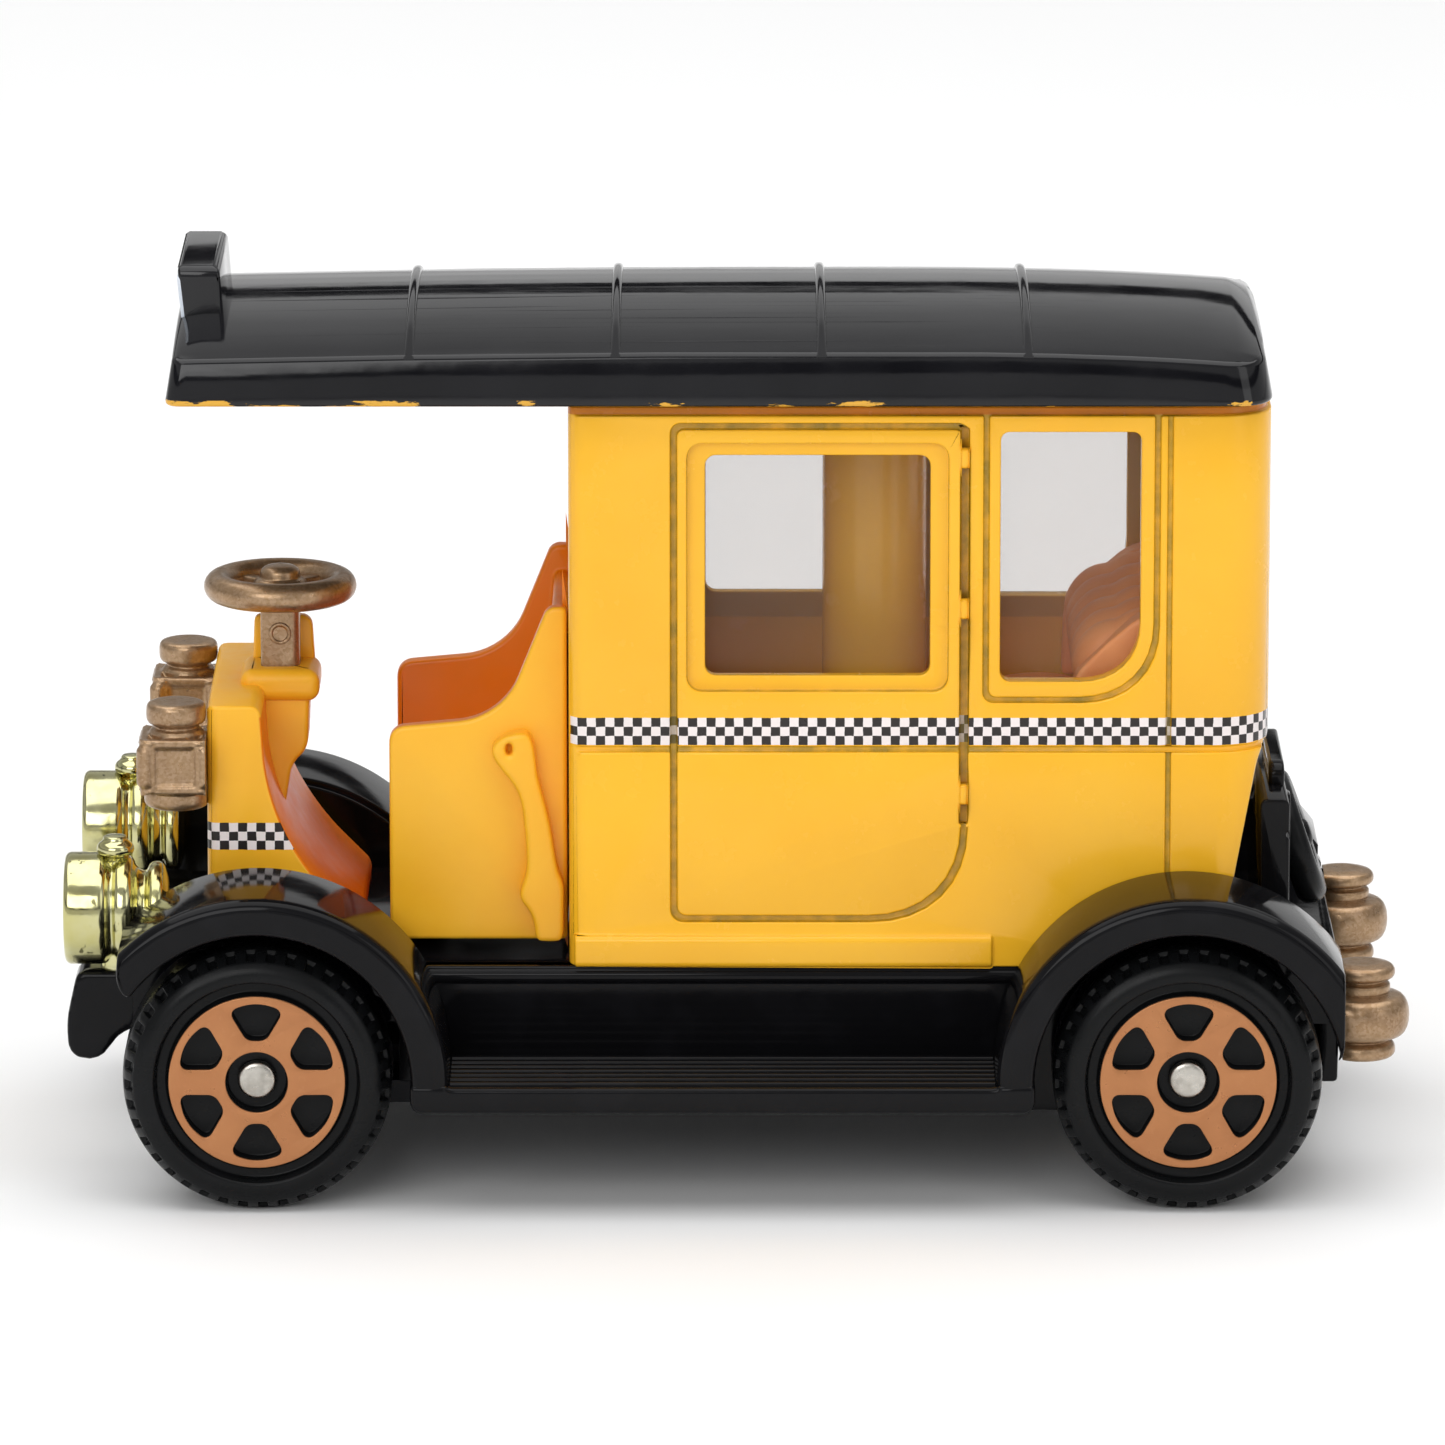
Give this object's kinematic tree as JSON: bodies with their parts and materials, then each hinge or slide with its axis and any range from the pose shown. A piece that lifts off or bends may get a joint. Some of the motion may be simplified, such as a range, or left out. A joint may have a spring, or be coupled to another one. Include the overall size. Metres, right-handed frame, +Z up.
{
  "type": "pocket toy taxi",
  "caption": "Small vintage toy taxi with a canopy roof, open driver's seat, closed cab, rolling wheels and a flywheel drive on the rear axle.",
  "frame": {"origin": "middle of the car's footprint, on the surface that the wheels stand on", "axes": "+X to the rear of the car, +Y to its right side, +Z up"},
  "size_m": [0.0588, 0.03, 0.0399],
  "materials": {
    "cab_paint": "gloss yellow enamel on a zinc casting",
    "roof_paint": "gloss black enamel on the same casting",
    "belt_print": "black and white chequered print",
    "yellow_plastic": "satin moulded plastic",
    "gloss_black": "glossy moulded black plastic",
    "matt_black": "matt moulded black plastic",
    "bronze_paint": "metallic bronze paint over plastic",
    "gold_chrome": "pale gold vacuum plating",
    "glazing": "lightly smoked clear plastic",
    "wheel_black": "satin black moulded wheel",
    "wheel_copper": "hot-stamped copper foil",
    "axle_steel": "plain drawn steel",
    "motor_steel": "stamped and turned steel",
    "bare_zinc": "spun-over zinc rivet",
    "gear_white": "natural moulded plastic"
  },
  "bodies": {
    "chassis": {"cab_casting": "cab_paint", "window_glazing": "glazing", "front_body": "yellow_plastic", "rear_seat": "yellow_plastic", "steering_wheel": "bronze_paint", "fender_frame": "gloss_black", "base_plate": "matt_black", "trunk_box": "gloss_black", "rack_loop": "gloss_black", "spare_wheel": "gloss_black", "front_rivet": "bare_zinc", "rear_rivet": "bare_zinc", "headlamp_left": "gold_chrome", "headlamp_right": "gold_chrome", "cowl_lamp_left": "bronze_paint", "cowl_lamp_right": "bronze_paint", "rear_lamp_left": "bronze_paint", "rear_lamp_right": "bronze_paint", "front_axle": "axle_steel", "motor_plate_left": "motor_steel", "motor_plate_right": "motor_steel", "idler_shaft": "axle_steel", "flywheel_shaft": "axle_steel", "motor_pillar_rear": "motor_steel", "motor_pillar_front": "motor_steel"},
    "front_wheel_left": {"front_wheel_left": "wheel_black"},
    "front_wheel_right": {"front_wheel_right": "wheel_black"},
    "rear_axle": {"rear_axle": "axle_steel", "rear_wheel_left": "wheel_black", "rear_wheel_right": "wheel_black", "axle_gear": "gear_white"},
    "idler": {"idler_gear": "gear_white"},
    "flywheel": {"flywheel": "motor_steel"}
  },
  "joints": [
    {"name": "rear_axle_spin", "type": "hinge", "parent": "chassis", "child": "rear_axle", "pos_m": [0.01976, 0, 0.00588], "axis": [0, 1, 0], "continuous": true},
    {"name": "front_left_spin", "type": "hinge", "parent": "chassis", "child": "front_wheel_left", "pos_m": [-0.0208, 0, 0.00588], "axis": [0, 1, 0], "continuous": true},
    {"name": "front_right_spin", "type": "hinge", "parent": "chassis", "child": "front_wheel_right", "pos_m": [-0.0208, 0, 0.00588], "axis": [0, 1, 0], "continuous": true},
    {"name": "idler_spin", "type": "hinge", "parent": "chassis", "child": "idler", "pos_m": [0.01582, 0, 0.00816], "axis": [0, 1, 0], "continuous": true},
    {"name": "flywheel_spin", "type": "hinge", "parent": "chassis", "child": "flywheel", "pos_m": [0.01491, 0, 0.01333], "axis": [0, 1, 0], "continuous": true}
  ],
  "couplings": [
    {"joint": "idler_spin", "follows": "rear_axle_spin", "ratio": -1.6},
    {"joint": "flywheel_spin", "follows": "rear_axle_spin", "ratio": 3.2}
  ]
}
